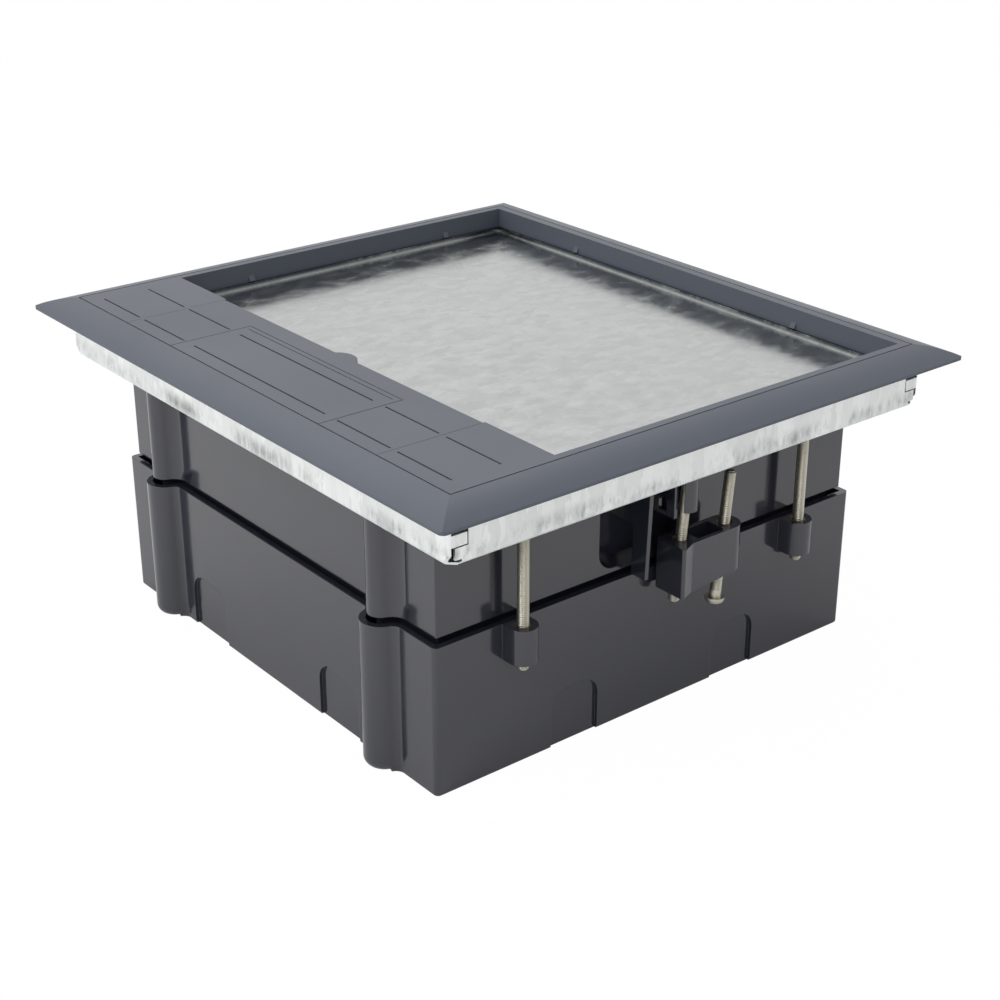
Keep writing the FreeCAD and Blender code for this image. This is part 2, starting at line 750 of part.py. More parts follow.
# ---- lid ----------------------------------------------------------------
def grooves(span):
    """Two score lines in the strip, over span on both sides of the middle."""
    cuts = []
    for back in (groove_inner, groove_outer):
        x = recess_x0 - back
        for a, b in (span, (-span[1], -span[0])):
            cuts.append(box(x - groove_w / 2, x + groove_w / 2, a, b, top - groove_deep, top + 1))
    return cuts


def snap_ribs():
    """Wedges on the recess walls, just above the turned-up edge of the steel insert."""
    z0 = recess_floor + insert_lip + 0.1
    wedge = bar_y([(0, z0), (-snap_out, z0 + 0.4), (0.3, z0 + snap_h), (0.3, z0)], -snap_w / 2, snap_w / 2)
    ribs = []
    for y in snap_y:
        rib = wedge.copy()
        rib.translate(Vector(recess_x1, y, 0))
        ribs.append(rib)
    for x in snap_x:
        for angle, y in ((90, recess_y), (-90, -recess_y)):
            rib = wedge.copy()
            rib.rotate(Vector(0, 0, 0), Z, angle)
            rib.translate(Vector(x, y, 0))
            ribs.append(rib)
    return ribs


def make_lid_frame():
    body = box(-lid_x, lid_x, -lid_y, lid_y, lid_bottom, top)
    recess = box(recess_x0, recess_x1, -recess_y, recess_y, sheet_bottom, top + 1)
    seat_z = cover_z0 - cover_seat_gap
    seat = box(-lid_x - 1, recess_x0 + 1, -cover_half_y, cover_half_y, seat_z, top + 1)
    cuts = [recess, seat]
    knuckle_room = handle_sweep + handle_sweep_gap
    cuts.append(rod_y(handle_axis_x, handle_axis_z, -handle_half_y - 0.3, handle_half_y + 0.3, knuckle_room))
    room = box(-lid_x + outlet_margin, handle_axis_x - knuckle_room, -handle_half_y + outlet_margin,
               handle_half_y - outlet_margin, lid_bottom + 2.7, top)
    cuts.append(room)
    lip_room = box(cover_axis_x - 4.5, recess_x0 + 1, -lip_r - 0.6, lip_r + 0.6, recess_floor + 1.5, top)
    cuts.append(lip_room)
    for s in (-1, 1):
        a, b = sorted((s * outlet_y0, s * outlet_y1))
        cuts.append(box(-lid_x + outlet_margin, handle_edge_x, a, b, lid_bottom - 1, top))
    body = body.cut(cuts + grooves(groove_end))
    adds = snap_ribs()
    for s in (-1, 1):
        a, b = sorted((s * (handle_half_y + 0.3), s * (handle_half_y + 0.3 + handle_post)))
        post = box(handle_axis_x - 1.8, handle_axis_x + 1.8, a, b, seat_z - 1, handle_axis_z)
        adds.append(post.fuse(rod_y(handle_axis_x, handle_axis_z, a, b, 1.6)))
    body = body.multiFuse(adds).removeSplitter()
    holes = []
    reach = handle_half_y + handle_post + 0.3
    holes.append(rod_y(handle_axis_x, handle_axis_z, -reach - 1, reach + 1, handle_pin_r))
    for s in (-1, 1):
        a, b = sorted((s * (cover_half_y - 1), s * (cover_half_y + cover_pin_length / 2)))
        holes.append(rod_y(cover_axis_x, cover_axis_z, a, b, cover_pin_r))
        a, b = sorted((s * (lid_y - hinge_pin_in), s * (lid_y + 1)))
        holes.append(rod_y(hinge_x, hinge_z, a, b, hinge_pin_r + hinge_run))
    return body.cut(holes)


def make_lid_insert():
    """Galvanised sheet in the recess, with turned-up edges."""
    x0 = recess_x0 + insert_gap
    x1 = recess_x1 - insert_gap
    y1 = recess_y - insert_gap
    sheet = box(x0, x1, -y1, y1, sheet_bottom, recess_floor + insert_lip)
    room = box(x0 - 1, x1 - insert_sheet, insert_sheet - y1, y1 - insert_sheet, recess_floor, top)
    return sheet.cut(room)


def make_hinge_pins():
    pins = []
    for s in (-1, 1):
        a, b = sorted((s * (lid_y - hinge_pin_in + 0.2), s * (open_y + hinge_pin_out)))
        pins.append(rod_y(hinge_x, hinge_z, a, b, hinge_pin_r))
    return Part.Compound(pins)


def make_cable_cover():
    """C-shaped cover: two arms beside the handle, joined along the recess."""
    y = cover_half_y - cover_seam / 2
    bay = handle_half_y + cover_seam
    plate = box(-lid_x, cover_axis_x, -y, y, cover_z0, top)
    handle = box(-lid_x - 1, handle_edge_x, -bay, bay, cover_z0 - 1, top + 1)
    edge = rod_y(cover_axis_x, cover_axis_z, -y, y, cover_thick / 2)
    lip = rod(recess_x0 - lip_r + lip_reach, 0, cover_z0, cover_z0 + lip_thick, lip_r)
    lip = lip.common(box(cover_axis_x, recess_x0 + lip_reach + 1, -lip_r, lip_r, cover_z0, top))
    body = plate.cut(handle).multiFuse([edge, lip]).removeSplitter()
    cuts = [rod_y(cover_axis_x, cover_axis_z, -y - 1, y + 1, cover_pin_r + hinge_run)]
    post = 2.0
    for s in (-1, 1):
        a, b = sorted((s * handle_half_y, s * (handle_half_y + handle_post + 1.0)))
        cuts.append(box(handle_axis_x - post, handle_axis_x + post, a, b, cover_z0 - 1, handle_axis_z + 1.9))
    cuts.append(rod_y(handle_axis_x, handle_axis_z, -bay, bay, handle_sweep))
    return body.cut(cuts + grooves(groove_arm))


def make_cover_pins():
    pins = []
    for s in (-1, 1):
        a, b = sorted((s * (cover_half_y - cover_pin_length / 2), s * (cover_half_y + cover_pin_length / 2)))
        pins.append(rod_y(cover_axis_x, cover_axis_z, a, b, cover_pin_r))
    return Part.Compound(pins)


def make_handle():
    """Plate that tips up to lift the lid, on a knuckle that is flush with the top."""
    end = handle_axis_x + handle_knuckle
    plate = box(-lid_x, handle_axis_x, -handle_half_y, handle_half_y, cover_z0, top)
    flush = box(handle_axis_x, end, -handle_half_y, handle_half_y, handle_axis_z, top)
    edge = rod_y(handle_axis_x, handle_axis_z, -handle_half_y, handle_half_y, handle_knuckle)
    body = plate.multiFuse([flush, edge]).removeSplitter()
    reach = handle_half_y + 1
    bore = rod_y(handle_axis_x, handle_axis_z, -reach, reach, handle_pin_r + hinge_run)
    line = box(end - handle_line - groove_w / 4, end - handle_line + groove_w / 4,
               -handle_half_y + handle_line, handle_half_y - handle_line, top - groove_deep, top + 1)
    return body.cut([bore, line] + grooves((-groove_handle, groove_handle)))


def make_handle_pin():
    reach = handle_half_y + handle_post + 0.3
    return rod_y(handle_axis_x, handle_axis_z, -reach, reach, handle_pin_r)


# ---- wiring devices -----------------------------------------------------
def module_places(centre_x):
    return [(centre_x, (i - 1.5) * module_pitch) for i in range(4)]


def make_carrier(centre_x):
    w = carrier_w / 2
    length = carrier_l / 2
    body = box(centre_x - w, centre_x + w, -length, length, carrier_top - carrier_t, carrier_top)
    body = body.makeFillet(3.0, [e for e in body.Edges if abs(e.tangentAt(e.FirstParameter).z) > 0.9])
    cuts = []
    hole = module_body / 2 + module_gap
    for x, y in module_places(centre_x):
        cuts.append(box(x - hole, x + hole, y - hole, y + hole, 0, carrier_top + 1))
    for x, y in lug_places():
        cuts.append(rod(x, y, 0, carrier_top + 1, lug_screw_r + 0.2))
    return body.cut(cuts)


def module_blank(x, y):
    f = module_size / 2
    b = module_body / 2
    front = box(x - f, x + f, y - f, y + f, carrier_top, carrier_top + module_front)
    back = box(x - b, x + b, y - b, y + b, carrier_top - module_depth, carrier_top)
    return front.fuse(back).removeSplitter()


def power_module(x, y):
    """Earthed two-pole outlet with a round recess and two side contacts."""
    face = carrier_top + module_front
    body = module_blank(x, y)
    cuts = [rod(x, y, face - outlet_recess, face + 1, outlet_recess_r)]
    floor = face - outlet_recess
    for s in (-1, 1):
        cuts.append(rod(x + s * outlet_pin_pitch / 2, y, floor - 9.0, floor + 1, outlet_pin_r))
    body = body.cut(cuts)
    adds = []
    for s in (-1, 1):
        a, b = sorted((s * (outlet_recess_r - 1.5), s * (outlet_recess_r + 0.4)))
        adds.append(box(x - 2.5, x + 2.5, y + a, y + b, floor - 0.2, face - 2.5))
    return body.multiFuse(adds).removeSplitter()


def data_module(x, y):
    """Insert with two modular jacks."""
    face = carrier_top + module_front
    cuts = []
    for s in (-1, 1):
        cx = x + s * jack_pitch / 2
        cuts.append(box(cx - jack_w / 2, cx + jack_w / 2, y - jack_h / 2, y + jack_h / 2,
                        face - jack_depth, face + 1))
    return module_blank(x, y).cut(cuts)


def make_carrier_screws():
    screws = [screw_down(x, y, carrier_top, lug_screw_length, lug_screw_r, lug_screw_head_r, lug_screw_head_h)
              for x, y in lug_places()]
    return Part.Compound(screws)


def make_divider():
    """Steel angle that keeps power and data apart."""
    x = carrier_second_x - carrier_w / 2
    length = carrier_l / 2 - divider_short
    wall = box(x, x + divider_t, -length, length, carrier_top, carrier_top + divider_h)
    foot = box(x, x + divider_foot, -length, length, carrier_top, carrier_top + divider_t)
    return wall.fuse(foot).removeSplitter()


def terminal_places():
    return [(terminal_x + k * terminal_pitch / 2, ly + flange_screw_out) for k in (-1, 1)]


def make_terminal():
    """Brass earth terminal on the steel tray's flange: cross bores and clamping screws."""
    z0 = tray_floor_top
    y = ly + flange_screw_out
    body = box(terminal_x - terminal_l / 2, terminal_x + terminal_l / 2,
               y - terminal_w / 2, y + terminal_w / 2, z0, z0 + terminal_h)
    for x, y in terminal_places():
        body = body.cut(rod_y(x, z0 + terminal_h / 2, y - terminal_w, y + terminal_w, terminal_wire_r))
        body = body.cut(rod(x, y, z0 + terminal_h / 2, z0 + terminal_h + 1, terminal_screw_r))
    return body


def make_terminal_screws():
    seat = tray_floor_top + terminal_h
    return Part.Compound([rod(x, y, seat - 3.0, seat + 0.8, terminal_screw_r) for x, y in terminal_places()])


# ---- write the sub-parts ------------------------------------------------
save("lower_box", make_lower_box())
save("boss_inserts", make_boss_inserts())
save("bezel_frame", make_bezel())
save("lid_gasket", make_gasket())
save("steel_tray", make_tray())
save("flange_screws", make_flange_screws())
save("upper_box", make_upper_box())

for number, (side, turn) in enumerate(((-1, False), (1, False), (-1, True), (1, True)), 1):
    x = side * adjust_x
    for name, shape in (("adjust_screw", adjust_screw(x)), ("screw_clip", adjust_clip(x))):
        save(name + "_" + str(number), turned(shape) if turn else shape)

for name, shape in (("clamp_block", make_clamp_block()), ("clamp_inserts", make_clamp_inserts()),
                    ("clamp_drive_screw", make_drive_screw()), ("clamp_pusher_screw", make_pusher_screw())):
    save(name + "_front", shape)
    save(name + "_rear", turned(shape))

save("lid_frame", make_lid_frame())
save("lid_steel_insert", make_lid_insert())
save("lid_hinge_pins", make_hinge_pins())
save("cable_cover", make_cable_cover())
save("cable_cover_pins", make_cover_pins())
save("lid_handle", make_handle())
save("lid_handle_pin", make_handle_pin())

save("power_carrier", make_carrier(carrier_first_x))
save("data_carrier", make_carrier(carrier_second_x))
for number, (x, y) in enumerate(module_places(carrier_first_x), 1):
    save("power_module_" + str(number), power_module(x, y))
for number, (x, y) in enumerate(module_places(carrier_second_x), 1):
    save("data_module_" + str(number), data_module(x, y))
save("carrier_screws", make_carrier_screws())
save("divider_plate", make_divider())
save("earth_terminal", make_terminal())
save("terminal_screws", make_terminal_screws())
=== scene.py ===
# %% [markdown]
# # A floor socket box, dressed for its picture
# The solids of the box come from CAD as a fixed frame: every node already has its place and size,
# in metres, with +Z up.  This lesson adds what CAD leaves out, which is the finish of each surface,
# the threads and drive recesses of the screws, and the small metal pieces inside the outlets.
# It starts by loading that frame.

# %% Load the frame
import json
import math

import bpy
import numpy as np
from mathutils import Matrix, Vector


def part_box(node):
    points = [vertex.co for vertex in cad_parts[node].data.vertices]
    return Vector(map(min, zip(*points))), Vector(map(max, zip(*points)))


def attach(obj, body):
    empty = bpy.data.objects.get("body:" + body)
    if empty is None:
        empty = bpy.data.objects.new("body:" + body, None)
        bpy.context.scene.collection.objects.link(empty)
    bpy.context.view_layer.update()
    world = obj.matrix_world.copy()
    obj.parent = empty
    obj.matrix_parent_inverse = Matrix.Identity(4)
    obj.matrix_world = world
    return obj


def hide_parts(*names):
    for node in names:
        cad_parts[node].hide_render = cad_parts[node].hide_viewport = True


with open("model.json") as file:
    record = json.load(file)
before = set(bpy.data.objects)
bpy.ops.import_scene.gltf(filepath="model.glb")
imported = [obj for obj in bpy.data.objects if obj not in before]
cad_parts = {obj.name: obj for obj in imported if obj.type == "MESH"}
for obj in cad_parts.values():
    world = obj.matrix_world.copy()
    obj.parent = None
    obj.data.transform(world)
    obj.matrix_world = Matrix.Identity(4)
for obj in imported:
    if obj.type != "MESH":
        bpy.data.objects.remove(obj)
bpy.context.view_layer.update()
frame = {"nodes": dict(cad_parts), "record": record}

# %% [markdown]
# ## Millimetres, colours and nodes
# Drawings of such a box are in millimetres, so one constant turns them to metres.  Colours are
# picked as sRGB hex, the way a paint chart gives them, while a shader works with linear light, so
# one function does that conversion for every colour.  A material is a tree of nodes, and one small
# function adds a node with its settings and its links, which keeps each tree readable.

# %% Helpers for sizes, colours and nodes
MM = 0.001


def colour(hex_code):
    """sRGB hex to linear RGBA: below 0.04045 a straight line, above it a 2.4 power."""
    value = np.array([int(hex_code[i:i + 2], 16) for i in (1, 3, 5)]) / 255
    linear = np.where(value <= 0.04045, value / 12.92, ((value + 0.055) / 1.055) ** 2.4)
    return (*linear.tolist(), 1.0)


def add(tree, kind, inputs=None, **settings):
    """Adds one node; inputs holds numbers, colours or the sockets to link from."""
    node = tree.nodes.new(kind)
    for key, value in settings.items():
        setattr(node, key, value)
    for key, value in (inputs or {}).items():
        socket = node.inputs[key]
        if isinstance(value, bpy.types.NodeSocket):
            tree.links.new(value, socket)
        else:
            socket.default_value = value
    return node


def blank(name):
    """A material whose tree holds only its output, ready for a shader."""
    material = bpy.data.materials.new(name)
    material.use_nodes = True
    material.node_tree.nodes.clear()
    return material, material.node_tree


print("anthracite in linear light:", [round(c, 3) for c in colour("#4A4F59")[:3]])

# %% [markdown]
# ## Spark-eroded top plastic
# The bezel, the lid, the cable cover and the handle are moulded in anthracite PC/ABS.  Part of the
# grey of a flat top is the plastic's own colour, and part is its sheen, which mirrors the bright
# room at a low angle.  The steel mould was spark-eroded, and that fine grain spreads the sheen, so
# the top looks satin.  A noise bump draws the grain on every face alike.  Real grain is about 0.2 mm;
# it is drawn at 0.8 mm, because finer would not show.  A bevel node rounds the light at each edge
# by 0.15 mm, which is as sharp as a moulded edge gets.

# %% Top plastic
GRAIN = 0.8 * MM

top_plastic, tree = blank("PC_ABS_spark_eroded_anthracite")
where = add(tree, "ShaderNodeTexCoord").outputs["Object"]
rounded = add(tree, "ShaderNodeBevel", {"Radius": 0.15 * MM}, samples=6).outputs["Normal"]
grain = add(tree, "ShaderNodeTexNoise", {"Vector": where, "Scale": 1 / GRAIN, "Detail": 2.0})
bump = add(tree, "ShaderNodeBump", {"Height": grain.outputs["Fac"], "Normal": rounded,
                                    "Strength": 0.12, "Distance": 0.05 * MM})
cloud = add(tree, "ShaderNodeTexNoise", {"Vector": where, "Scale": 1 / (50 * MM), "Detail": 3.0})
sheen = add(tree, "ShaderNodeMapRange", {"Value": cloud.outputs["Fac"], "From Min": 0.3, "From Max": 0.7,
                                         "To Min": 0.38, "To Max": 0.45})
satin = add(tree, "ShaderNodeBsdfPrincipled", {"Base Color": colour("#4A4F59"), "IOR": 1.45,
                                               "Roughness": sheen.outputs["Result"],
                                               "Normal": bump.outputs["Normal"]})
add(tree, "ShaderNodeOutputMaterial", {"Surface": satin.outputs["BSDF"]})
print("top plastic grain:", GRAIN / MM, "mm")

# %% [markdown]
# ## Polished box plastic
# The two telescoping boxes and the clamp blocks are the same anthracite, moulded against polished
# steel.  Their walls are glossy enough to mirror the screws in front of them.  Moulded walls are
# never quite flat: they sink a little as they cool, so a broad, shallow bump bends the reflections.

# %% Box plastic
box_plastic, tree = blank("PC_ABS_polished_anthracite")
where = add(tree, "ShaderNodeTexCoord").outputs["Object"]
rounded = add(tree, "ShaderNodeBevel", {"Radius": 0.35 * MM}, samples=6).outputs["Normal"]
sink = add(tree, "ShaderNodeTexNoise", {"Vector": where, "Scale": 1 / (40 * MM), "Detail": 1.0})
bump = add(tree, "ShaderNodeBump", {"Height": sink.outputs["Fac"], "Normal": rounded,
                                    "Strength": 0.3, "Distance": 0.6 * MM})
haze = add(tree, "ShaderNodeTexNoise", {"Vector": where, "Scale": 1 / (25 * MM), "Detail": 4.0})
gloss = add(tree, "ShaderNodeMapRange", {"Value": haze.outputs["Fac"], "From Min": 0.3, "From Max": 0.7,
                                         "To Min": 0.09, "To Max": 0.14})
polished = add(tree, "ShaderNodeBsdfPrincipled", {"Base Color": colour("#25262F"), "IOR": 1.7,
                                                  "Roughness": gloss.outputs["Result"],
                                                  "Normal": bump.outputs["Normal"]})
add(tree, "ShaderNodeOutputMaterial", {"Surface": polished.outputs["BSDF"]})
print("box plastic ready")

# %% [markdown]
# ## Hot-dip galvanised sheet
# The tray and the insert are steel sheet with a zinc skin.  As the zinc freezes, it grows flat
# crystals, the spangle, and each one throws back the light a little differently.  Voronoi cells
# are the usual way to draw crystals.  Their borders are broken up here with noise, because real
# spangle has feathered borders.  The zinc is frosted in some patches and nearly a mirror in others,
# so roughness changes far more than colour does.

# %% Galvanised sheet
SPANGLE = 6 * MM


def galvanised(name, hex_codes, rough, stretch, dark_band=None):
    """Zinc skin: greys from dark to light, roughness from mirror to frost, pattern scaled by stretch.

    The last argument gives the height, the half width and the grey of a streaky darker band, and the noise
    level where its streaks begin; on the insert this band is painted reflection of the dark recess walls, on
    the tray it is a darker streaky band near the lower edge.
    """
    material, tree = blank(name)
    where = add(tree, "ShaderNodeTexCoord").outputs["Object"]
    sized = add(tree, "ShaderNodeMapping", {"Vector": where, "Scale": stretch}).outputs["Vector"]
    warp = add(tree, "ShaderNodeTexNoise", {"Vector": sized, "Scale": 1 / (4 * MM), "Detail": 5.0})
    push = add(tree, "ShaderNodeVectorMath", {0: warp.outputs["Color"], 1: (0.5, 0.5, 0.5)},
               operation="SUBTRACT")
    shift = add(tree, "ShaderNodeVectorMath", {0: push.outputs["Vector"], "Scale": 10 * MM},
                operation="SCALE")
    place = add(tree, "ShaderNodeVectorMath", {0: sized, 1: shift.outputs["Vector"]}, operation="ADD")
    cells = add(tree, "ShaderNodeTexVoronoi", {"Vector": place.outputs["Vector"], "Scale": 1 / SPANGLE})
    split = add(tree, "ShaderNodeSeparateColor", {"Color": cells.outputs["Color"]})
    cloud = add(tree, "ShaderNodeTexNoise", {"Vector": sized, "Scale": 1 / (12 * MM), "Detail": 7.0,
                                             "Roughness": 0.62})
    both = add(tree, "ShaderNodeMix", {"Factor": 0.75, "A": split.outputs["Red"], "B": cloud.outputs["Fac"]})
    tone = add(tree, "ShaderNodeValToRGB", {"Fac": both.outputs["Result"]})
    for place, position, hex_code in zip(tone.color_ramp.elements, (0.34, 0.66), hex_codes):
        place.position = position
        place.color = colour(hex_code)
    shade = tone.outputs["Color"]
    # Painted reflection on the insert: a streaky band of dark wall grey just below its top level stands in
    # for the recess walls mirrored in the zinc. On the tray the same code makes a darker streaky band near
    # the lower edge.
    if dark_band:
        height, width, grey, band_onset = dark_band
        level = add(tree, "ShaderNodeSeparateXYZ", {"Vector": where}).outputs["Z"]
        above = add(tree, "ShaderNodeMath", {0: level, 1: height}, operation="SUBTRACT")
        away = add(tree, "ShaderNodeMath", {0: above.outputs["Value"]}, operation="ABSOLUTE")
        band = add(tree, "ShaderNodeMapRange", {"Value": away.outputs["Value"], "From Max": width,
                                                "To Min": 1.0, "To Max": 0.0},
                   interpolation_type="SMOOTHSTEP")
        streaks = add(tree, "ShaderNodeTexNoise", {"Vector": sized, "Scale": 1 / (3 * MM), "Detail": 7.0,
                                                   "Roughness": 0.75})
        region = add(tree, "ShaderNodeTexNoise", {"Vector": where, "Scale": 1 / (30 * MM), "Detail": 3.0})
        streak_sum = add(tree, "ShaderNodeMath", {0: streaks.outputs["Fac"], 1: region.outputs["Fac"]})
        band_patches = add(tree, "ShaderNodeMapRange", {"Value": streak_sum.outputs["Value"], "From Min": band_onset,
                                                "From Max": band_onset + 0.4})
        much = add(tree, "ShaderNodeMath", {0: band.outputs["Result"], 1: band_patches.outputs["Result"]},
                   operation="MULTIPLY")
        shade = add(tree, "ShaderNodeMix", {"Factor": much.outputs["Value"], "A": shade, "B": colour(grey)},
                    data_type="RGBA").outputs["Result"]
    frost = add(tree, "ShaderNodeMapRange", {"Value": cloud.outputs["Fac"], "From Min": 0.42,
                                             "From Max": 0.66, "To Min": rough[0], "To Max": rough[1]})
    rounded = add(tree, "ShaderNodeBevel", {"Radius": 0.25 * MM}, samples=4).outputs["Normal"]
    relief = add(tree, "ShaderNodeBump", {"Height": both.outputs["Result"], "Normal": rounded,
                                          "Strength": 0.25, "Distance": 0.06 * MM})
    zinc = add(tree, "ShaderNodeBsdfPrincipled", {"Base Color": shade, "Metallic": 1.0,
                                                  "Roughness": frost.outputs["Result"],
                                                  "Normal": relief.outputs["Normal"]})
    add(tree, "ShaderNodeOutputMaterial", {"Surface": zinc.outputs["BSDF"]})
    return material


tray_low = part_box("steel_tray")[0].z
insert_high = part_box("lid_steel_insert")[1].z
# The insert's band, #474D55 just below its top level, is painted reflection of the dark recess walls; the
# tray's band is a darker streaky grey near its lower edge.
zinc_insert = galvanised("Galvanised_sheet_insert", ("#AFB2B1", "#BBBEBD"), (0.15, 0.28), (1.0, 1.4, 1.0),
                         (insert_high - 0.3 * MM, 1.8 * MM, "#474D55", 0.6))
zinc_tray = galvanised("Galvanised_sheet_tray", ("#DADDDC", "#EEF1F0"), (0.44, 0.58), (1.0, 1.0, 0.3),
                       (tray_low + 4.0 * MM, 6 * MM, "#909392", 0.95))
print("spangle:", SPANGLE / MM, "mm")

# %% [markdown]
# ## Plain metals, rubber and the light plastic
# Screws are steel with a thin zinc plating, warm grey and a little uneven.  The inserts, the earth
# terminal and the outlet contacts are turned or bent brass, the seal on the ledge is nitrile
# rubber, and the wiring modules are light grey urea.  All share one recipe: a base colour, a
# roughness that wanders slightly, and a faint bump.

# %% Simple finishes
def finish(name, hex_code, metallic, rough, wander, grit, ior=1.5):
    """One colour; roughness goes wander up and down in patches of grit; the bump has the same grain."""
    material, tree = blank(name)
    where = add(tree, "ShaderNodeTexCoord").outputs["Object"]
    patch = add(tree, "ShaderNodeTexNoise", {"Vector": where, "Scale": 1 / grit, "Detail": 3.0})
    spread = add(tree, "ShaderNodeMapRange", {"Value": patch.outputs["Fac"], "From Min": 0.3, "From Max": 0.7,
                                              "To Min": rough - wander, "To Max": rough + wander})
    rounded = add(tree, "ShaderNodeBevel", {"Radius": 0.2 * MM}, samples=4).outputs["Normal"]
    relief = add(tree, "ShaderNodeBump", {"Height": patch.outputs["Fac"], "Normal": rounded,
                                          "Strength": 0.1, "Distance": 0.03 * MM})
    shader = add(tree, "ShaderNodeBsdfPrincipled", {"Base Color": colour(hex_code), "Metallic": metallic,
                                                    "Roughness": spread.outputs["Result"],
                                                    "Normal": relief.outputs["Normal"]})
    if metallic < 0.5:
        shader.inputs["IOR"].default_value = ior
    add(tree, "ShaderNodeOutputMaterial", {"Surface": shader.outputs["BSDF"]})
    return material


plated_steel = finish("Zinc_plated_steel", "#C4C0B2", 1.0, 0.38, 0.05, 2 * MM)
brass = finish("Turned_brass", "#AD9C6A", 1.0, 0.34, 0.05, 1.5 * MM)
nitrile = finish("Nitrile_rubber", "#1E1E1F", 0.0, 0.72, 0.05, 1 * MM)
urea = finish("Urea_light_grey", "#DEDED9", 0.0, 0.3, 0.01, 0.6 * MM, 1.55)
carrier_abs = finish("ABS_moulded_black", "#26272A", 0.0, 0.45, 0.06, 0.8 * MM, 1.54)
print("finishes:", [m.name for m in bpy.data.materials])

# %% [markdown]
# ## Give every CAD node its finish
# A node's mesh stays as the CAD made it.  Only the materials change, so one table from slot to
# finish is enough, with the tray and the insert told apart because their sheets differ.

# %% Assign materials
finish_of_slot = {
    "anthracite_top": top_plastic, "anthracite_box": box_plastic, "galvanised": zinc_insert,
    "zinc_steel": plated_steel, "brass": brass, "rubber": nitrile,
    "carrier_plastic": carrier_abs, "module_white": urea,
}
slot_of_node = {part["node"]: part["material_slot"] for part in frame["record"]["subparts"]}
for name, node in frame["nodes"].items():
    material = zinc_tray if name == "steel_tray" else finish_of_slot[slot_of_node[name]]
    node.data.materials.clear()
    node.data.materials.append(material)
print("dressed nodes:", len(slot_of_node))

# %% [markdown]
# ## Skins from grids of points
# Everything new here is a surface worked out as one array: rows of points go round an axis, and
# each row is joined to the next.  Two single points, the poles, close the ends with fans, so the
# skin is watertight and its faces look outwards.  A piece that is repeated, such as a set of
# screws, is one mesh of several such shells.

# %% A closed skin from a grid
def skin(name, grid, bottom, top, body, material, slot, stands_for=()):
    """Closed shells: grid[shell, row, step] runs anticlockwise and upwards; bottom and top are poles."""
    grid = grid.reshape(-1, *grid.shape[-3:])
    shells, rows, steps = grid.shape[:3]
    here = np.arange(steps)
    there = (here + 1) % steps
    start = np.arange(rows - 1)[:, None] * steps
    quads = np.stack([start + here, start + there, start + steps + there, start + steps + here], -1)
    low, high = rows * steps, rows * steps + 1
    last = (rows - 1) * steps
    fans = np.concatenate([np.stack([np.full(steps, low), there, here], -1),
                           np.stack([np.full(steps, high), last + here, last + there], -1)])
    first = np.arange(shells)[:, None, None] * (rows * steps + 2)
    points = np.concatenate([grid.reshape(shells, -1, 3), np.reshape(bottom, (shells, 1, 3)),
                             np.reshape(top, (shells, 1, 3))], 1)
    mesh = bpy.data.meshes.new(name)
    faces = (quads.reshape(-1, 4) + first).reshape(-1, 4).tolist() + (fans + first).reshape(-1, 3).tolist()
    mesh.from_pydata(points.reshape(-1, 3).tolist(), [], faces)
    mesh.update()
    mesh.materials.append(material)
    piece = bpy.data.objects.new(name, mesh)
    bpy.context.scene.collection.objects.link(piece)
    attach(piece, body)
    if stands_for:
        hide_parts(*stands_for)
    return piece


print("skin helper ready")

# %% [markdown]
# ## Machine screws with real threads
# The four adjusting screws and the clamp screws are taken as M5 pan-head screws: 5 mm across, one
# turn of thread every 0.8 mm.  A thread could be cut with a screw modifier, but it is simply a cylinder
# whose radius goes up and down as a zigzag of height minus turn, so it is worked out directly.
# The head is a profile turned round the axis, and the drive is a cross pressed into its top.

# %% The screw's surface
PITCH = 0.8 * MM
THREAD = 0.25 * MM
ROUND = 40                 # points round the screw
HEAD_LIFT = 0.02 * MM      # keeps the head's underside off its seat
RIM_LOW = 0.15 * MM        # straight foot of the rim
NECK_RINGS = 8             # rings below the top of the head, where the drive starts
DRIVE_DEPTH = 0.62         # of the head's height
DRIVE_REACH, DRIVE_FADE = 0.56, 0.14      # of the head's radius: arm length and its run-out
DRIVE_HALF, DRIVE_SLOPE = 0.15, 0.05      # of the head's radius: half an arm's width and its flank


